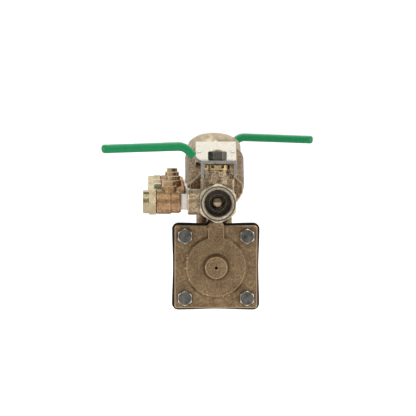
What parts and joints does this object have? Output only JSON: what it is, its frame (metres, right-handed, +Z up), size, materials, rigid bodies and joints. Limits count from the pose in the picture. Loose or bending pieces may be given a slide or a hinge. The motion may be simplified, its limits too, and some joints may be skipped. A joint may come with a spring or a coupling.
{
  "type": "backflow preventer",
  "caption": "Reduced-pressure backflow preventer: ball valves at both ends, leaning spring check valves, a diaphragm relief valve below and test cocks along one side.",
  "frame": {"origin": "centre of the inlet port's face, on the port's axis, where the supply pipe enters", "axes": "+Y is the flow direction from inlet to outlet, +Z is up, +X is to the right seen from the inlet (the test cocks point along -X)"},
  "size_m": [0.214, 0.305, 0.1664],
  "materials": {
    "body_bronze": "sand-cast bronze",
    "relief_cover_bronze": "sand-cast bronze",
    "check_cover_bronze": "turned bronze",
    "valve_bronze": "cast bronze, spot machined",
    "port_bronze": "cast and turned bronze",
    "ball_chrome": "polished",
    "stem_brass": "turned brass",
    "gland_brass": "milled brass",
    "lever_steel": "stamped, zinc plated",
    "grip_vinyl": "dipped vinyl, semi-gloss",
    "nut_steel": "plated steel",
    "ptfe_white": "machined PTFE",
    "tape_white": "thread tape",
    "cock_bronze": "cast bronze",
    "cock_brass": "turned brass",
    "cock_stem_bronze": "turned bronze",
    "bolt_steel": "stainless",
    "seal_rubber": "moulded rubber",
    "inner_steel": "stainless",
    "check_plastic": "moulded, glass filled",
    "inner_brass": "turned",
    "plate_tin": "cream baked enamel",
    "rivet_aluminium": "drive rivets"
  },
  "bodies": {
    "valve": {"check_1_cover": "check_cover_bronze", "check_1_seat": "check_plastic", "check_1_spring": "inner_steel", "check_2_cover": "check_cover_bronze", "check_2_seat": "check_plastic", "check_2_spring": "inner_steel", "inlet_valve_body": "valve_bronze", "inlet_valve_end_cap": "port_bronze", "inlet_valve_gland_nut": "gland_brass", "main_body": "body_bronze", "nameplate": "plate_tin", "nameplate_rivets": "rivet_aluminium", "o_rings": "seal_rubber", "outlet_valve_body": "valve_bronze", "outlet_valve_end_cap": "port_bronze", "outlet_valve_gland_nut": "gland_brass", "relief_cover": "relief_cover_bronze", "relief_cover_bolts": "bolt_steel", "relief_diaphragm": "seal_rubber", "relief_seat": "inner_brass", "relief_spring": "inner_steel", "relief_stem_guide": "inner_brass", "test_cock_1_body": "cock_bronze", "test_cock_1_tail": "cock_brass", "test_cock_2_body": "cock_bronze", "test_cock_2_tail": "cock_brass", "test_cock_3_body": "cock_bronze", "test_cock_3_tail": "cock_brass", "test_cock_4_body": "cock_bronze", "test_cock_4_tail": "cock_brass", "test_cock_seats": "ptfe_white", "thread_tape": "tape_white", "valve_seats": "ptfe_white", "valve_stem_packings": "ptfe_white"},
    "inlet_lever": {"inlet_valve_ball": "ball_chrome", "inlet_valve_stem": "stem_brass", "inlet_valve_handle": "lever_steel", "inlet_valve_grip": "grip_vinyl", "inlet_valve_handle_nut": "nut_steel"},
    "outlet_lever": {"outlet_valve_ball": "ball_chrome", "outlet_valve_stem": "stem_brass", "outlet_valve_handle": "lever_steel", "outlet_valve_grip": "grip_vinyl", "outlet_valve_handle_nut": "nut_steel"},
    "first_check": {"check_1_poppet": "check_plastic", "check_1_disc": "seal_rubber", "check_1_disc_screw": "inner_brass"},
    "second_check": {"check_2_poppet": "check_plastic", "check_2_disc": "seal_rubber", "check_2_disc_screw": "inner_brass"},
    "relief_piston": {"relief_stem": "inner_steel", "relief_diaphragm_plates": "inner_steel", "relief_stem_nut": "inner_steel", "relief_disc_holder": "inner_brass", "relief_disc": "seal_rubber", "relief_disc_screw": "inner_brass"},
    "test_cock_stem_1": {"test_cock_1_stem": "cock_stem_bronze"},
    "test_cock_stem_2": {"test_cock_2_stem": "cock_stem_bronze"},
    "test_cock_stem_3": {"test_cock_3_stem": "cock_stem_bronze"},
    "test_cock_stem_4": {"test_cock_4_stem": "cock_stem_bronze"}
  },
  "joints": [
    {"name": "inlet_lever_turn", "type": "hinge", "parent": "valve", "child": "inlet_lever", "pos_m": [0, 0.027, 0], "axis": [0, 0, 1], "range_deg": [0, 90]},
    {"name": "outlet_lever_turn", "type": "hinge", "parent": "valve", "child": "outlet_lever", "pos_m": [0, 0.278, 0], "axis": [0, 0, 1], "range_deg": [0, 90]},
    {"name": "first_check_lift", "type": "slide", "parent": "valve", "child": "first_check", "axis": [0, 0.5878, 0.809], "range_m": [0, 0.008], "stiffness_N_per_m": 800, "springref_m": -0.012, "deforming": ["check_1_spring"]},
    {"name": "second_check_lift", "type": "slide", "parent": "valve", "child": "second_check", "axis": [0, 0.5878, 0.809], "range_m": [0, 0.008], "stiffness_N_per_m": 800, "springref_m": -0.012, "deforming": ["check_2_spring"]},
    {"name": "relief_stroke", "type": "slide", "parent": "valve", "child": "relief_piston", "axis": [0, 1, 0], "range_m": [0, 0.006], "stiffness_N_per_m": 600, "springref_m": -0.01, "deforming": ["relief_spring", "relief_diaphragm"]},
    {"name": "test_cock_1_turn", "type": "hinge", "parent": "valve", "child": "test_cock_stem_1", "pos_m": [-0.0445, 0.027, 0], "axis": [0, 0, 1], "range_deg": [0, 90]},
    {"name": "test_cock_2_turn", "type": "hinge", "parent": "valve", "child": "test_cock_stem_2", "pos_m": [-0.0397, 0.0685, 0.003], "axis": [0, 0, 1], "range_deg": [0, 90]},
    {"name": "test_cock_3_turn", "type": "hinge", "parent": "valve", "child": "test_cock_stem_3", "pos_m": [-0.0397, 0.145, 0.003], "axis": [0, 0, 1], "range_deg": [0, 90]},
    {"name": "test_cock_4_turn", "type": "hinge", "parent": "valve", "child": "test_cock_stem_4", "pos_m": [-0.0397, 0.223, 0.003], "axis": [0, 0, 1], "range_deg": [0, 90]}
  ]
}
